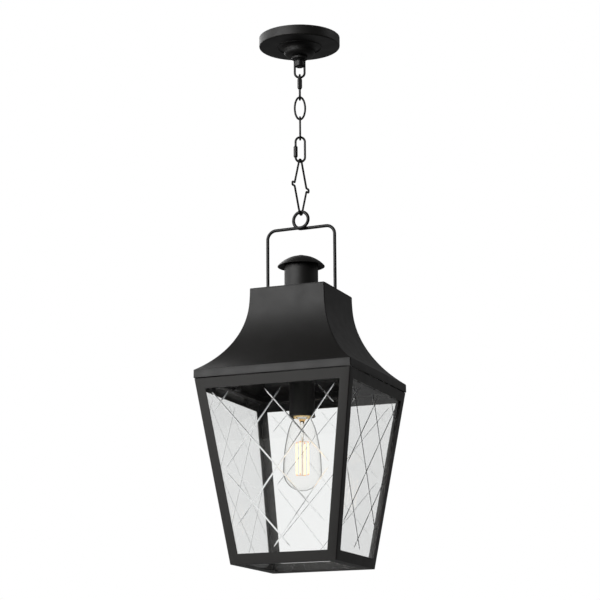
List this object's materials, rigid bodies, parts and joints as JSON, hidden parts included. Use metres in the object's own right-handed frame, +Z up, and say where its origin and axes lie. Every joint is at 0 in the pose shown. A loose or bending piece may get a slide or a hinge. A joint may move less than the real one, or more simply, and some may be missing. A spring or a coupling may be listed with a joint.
{
  "type": "hanging lantern",
  "caption": "Hanging lantern with a tapered square glazed body, flared roof, vented chimney cap, wire bail, short chain and round ceiling canopy, with a filament bulb inside.",
  "frame": {"origin": "centre of the mounting strap's upper face, in the ceiling plane, on the lantern's vertical axis", "axes": "+Z up along the hanging axis, +X along the mounting strap and the bail, -Y out of the front pane"},
  "size_m": [0.25, 0.25, 0.8313],
  "materials": {
    "black_paint": "satin",
    "zinc_steel": "satin",
    "green_screw": "gloss",
    "nickel_brass": "gloss",
    "gold_base": "gloss",
    "porcelain": "gloss",
    "rubber": "matte",
    "cut_glass": "gloss",
    "bulb_glass": "gloss",
    "stem_glass": "gloss",
    "support_wire": "satin",
    "filament": "matte"
  },
  "bodies": {
    "ceiling_mount": {"mounting_strap": "zinc_steel", "ground_screw": "green_screw", "threaded_nipple": "zinc_steel", "nipple_lock_nut": "zinc_steel", "canopy_loop": "black_paint"},
    "canopy": {"canopy": "black_paint", "screw_collar": "black_paint"},
    "upper_quick_link": {"upper_quick_link": "black_paint"},
    "upper_quick_link_nut": {"upper_quick_link_nut": "black_paint"},
    "chain_link_1": {"chain_link_1": "black_paint"},
    "chain_link_2": {"chain_link_2": "black_paint"},
    "lower_quick_link": {"lower_quick_link": "black_paint"},
    "lower_quick_link_nut": {"lower_quick_link_nut": "black_paint"},
    "hanger_link": {"hanger_link": "black_paint"},
    "lantern": {"bail": "black_paint", "bail_nuts": "black_paint", "roof_plate": "black_paint", "roof_panel_front": "black_paint", "roof_panel_right": "black_paint", "roof_panel_back": "black_paint", "roof_panel_left": "black_paint", "chimney": "black_paint", "chimney_cap": "black_paint", "cord_grommet": "rubber", "corner_post_front_right": "black_paint", "corner_post_back_right": "black_paint", "corner_post_back_left": "black_paint", "corner_post_front_left": "black_paint", "top_rail_front": "black_paint", "top_rail_right": "black_paint", "top_rail_back": "black_paint", "top_rail_left": "black_paint", "bottom_rail_front": "black_paint", "bottom_rail_right": "black_paint", "bottom_rail_back": "black_paint", "bottom_rail_left": "black_paint", "glass_front": "cut_glass", "glass_right": "cut_glass", "glass_back": "cut_glass", "glass_left": "cut_glass", "glass_clips": "black_paint", "roof_brackets": "black_paint", "frame_screws": "black_paint", "socket_crossbar": "black_paint", "socket_nipple": "zinc_steel", "socket_nuts": "black_paint", "socket_cover": "black_paint", "socket_sleeve": "black_paint", "socket_body": "porcelain", "screw_shell": "nickel_brass", "centre_contact": "nickel_brass"},
    "bulb": {"bulb_base": "gold_base", "bulb_glass": "bulb_glass", "bulb_stem": "stem_glass", "filament_supports": "support_wire", "filaments": "filament"}
  },
  "joints": [
    {"name": "canopy_lowering", "type": "slide", "parent": "ceiling_mount", "child": "canopy", "axis": [0, 0, -1], "range_m": [0, 0.028]},
    {"name": "upper_quick_link_swing", "type": "hinge", "parent": "ceiling_mount", "child": "upper_quick_link", "pos_m": [0, 0, -0.0653], "axis": [0.9304, 0.3665, 0], "range_deg": [-30, 30]},
    {"name": "upper_quick_link_nut_travel", "type": "slide", "parent": "upper_quick_link", "child": "upper_quick_link_nut", "axis": [0, 0, -1], "range_m": [0, 0.007]},
    {"name": "chain_link_1_swing", "type": "hinge", "parent": "upper_quick_link", "child": "chain_link_1", "pos_m": [0, 0, -0.10125], "axis": [-0.3665, 0.9304, 0], "range_deg": [-30, 30]},
    {"name": "chain_link_2_swing", "type": "hinge", "parent": "chain_link_1", "child": "chain_link_2", "pos_m": [0, 0, -0.1339], "axis": [0.9304, 0.3665, 0], "range_deg": [-30, 30]},
    {"name": "lower_quick_link_swing", "type": "hinge", "parent": "chain_link_2", "child": "lower_quick_link", "pos_m": [0, 0, -0.1667], "axis": [-0.3665, 0.9304, 0], "range_deg": [-30, 30]},
    {"name": "lower_quick_link_nut_travel", "type": "slide", "parent": "lower_quick_link", "child": "lower_quick_link_nut", "axis": [0, 0, 1], "range_m": [0, 0.007]},
    {"name": "hanger_link_swing", "type": "hinge", "parent": "lower_quick_link", "child": "hanger_link", "pos_m": [0, 0, -0.20285], "axis": [0.9304, 0.3665, 0], "range_deg": [-30, 30]},
    {"name": "lantern_swing", "type": "hinge", "parent": "hanger_link", "child": "lantern", "pos_m": [0, 0, -0.288], "axis": [0.0976, 0.9952, 0], "range_deg": [-30, 30]},
    {"name": "bulb_removal", "type": "slide", "parent": "lantern", "child": "bulb", "axis": [0, 0, -1], "range_m": [0, 0.27]}
  ]
}
